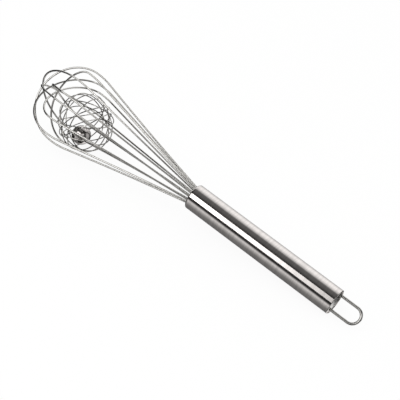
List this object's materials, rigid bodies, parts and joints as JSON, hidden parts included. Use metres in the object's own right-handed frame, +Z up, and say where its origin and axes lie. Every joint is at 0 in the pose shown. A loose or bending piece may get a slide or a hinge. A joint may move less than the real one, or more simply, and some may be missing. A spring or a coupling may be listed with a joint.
{
  "type": "ball whisk",
  "caption": "Whisk with a steel tube handle, a hanging loop and a wire balloon that holds a loose wire cage with a steel ball rolling in it.",
  "frame": {"origin": "middle of the bounding box, on the surface that the whisk lies on", "axes": "+X along the whisk from the balloon's tip to the hanging loop, +Z up; the handle's axis falls 5 degrees towards +X"},
  "size_m": [0.3026, 0.0634, 0.0627],
  "materials": {
    "handle_tube": "ground stainless steel, hair lines round the tube",
    "wire_holder": "plain turned stainless steel",
    "end_cap": "smooth stainless steel",
    "hanging_loop": "polished stainless wire",
    "balloon_wire_1": "polished stainless wire",
    "balloon_wire_2": "polished stainless wire",
    "balloon_wire_3": "polished stainless wire",
    "balloon_wire_4": "polished stainless wire",
    "balloon_wire_5": "polished stainless wire",
    "balloon_wire_6": "polished stainless wire",
    "balloon_wire_7": "polished stainless wire",
    "cage_ball": "polished stainless wire",
    "steel_ball": "mirror-polished steel"
  },
  "bodies": {
    "whisk": {"handle_tube": "handle_tube", "wire_holder": "wire_holder", "end_cap": "end_cap", "hanging_loop": "hanging_loop", "balloon_wire_1": "balloon_wire_1", "balloon_wire_2": "balloon_wire_2", "balloon_wire_3": "balloon_wire_3", "balloon_wire_4": "balloon_wire_4", "balloon_wire_5": "balloon_wire_5", "balloon_wire_6": "balloon_wire_6", "balloon_wire_7": "balloon_wire_7"},
    "cage": {"cage_ball": "cage_ball"},
    "ball": {"steel_ball": "steel_ball"}
  },
  "joints": [
    {"name": "cage_travel", "type": "slide", "parent": "whisk", "child": "cage", "axis": [0.9562, 0, 0.2928], "range_m": [0, 0.018]},
    {"name": "ball_roll", "type": "hinge", "parent": "cage", "child": "ball", "pos_m": [-0.10508, -0.00031, 0.02442], "axis": [-0.1952, -0.9806, 0.017], "continuous": true}
  ]
}
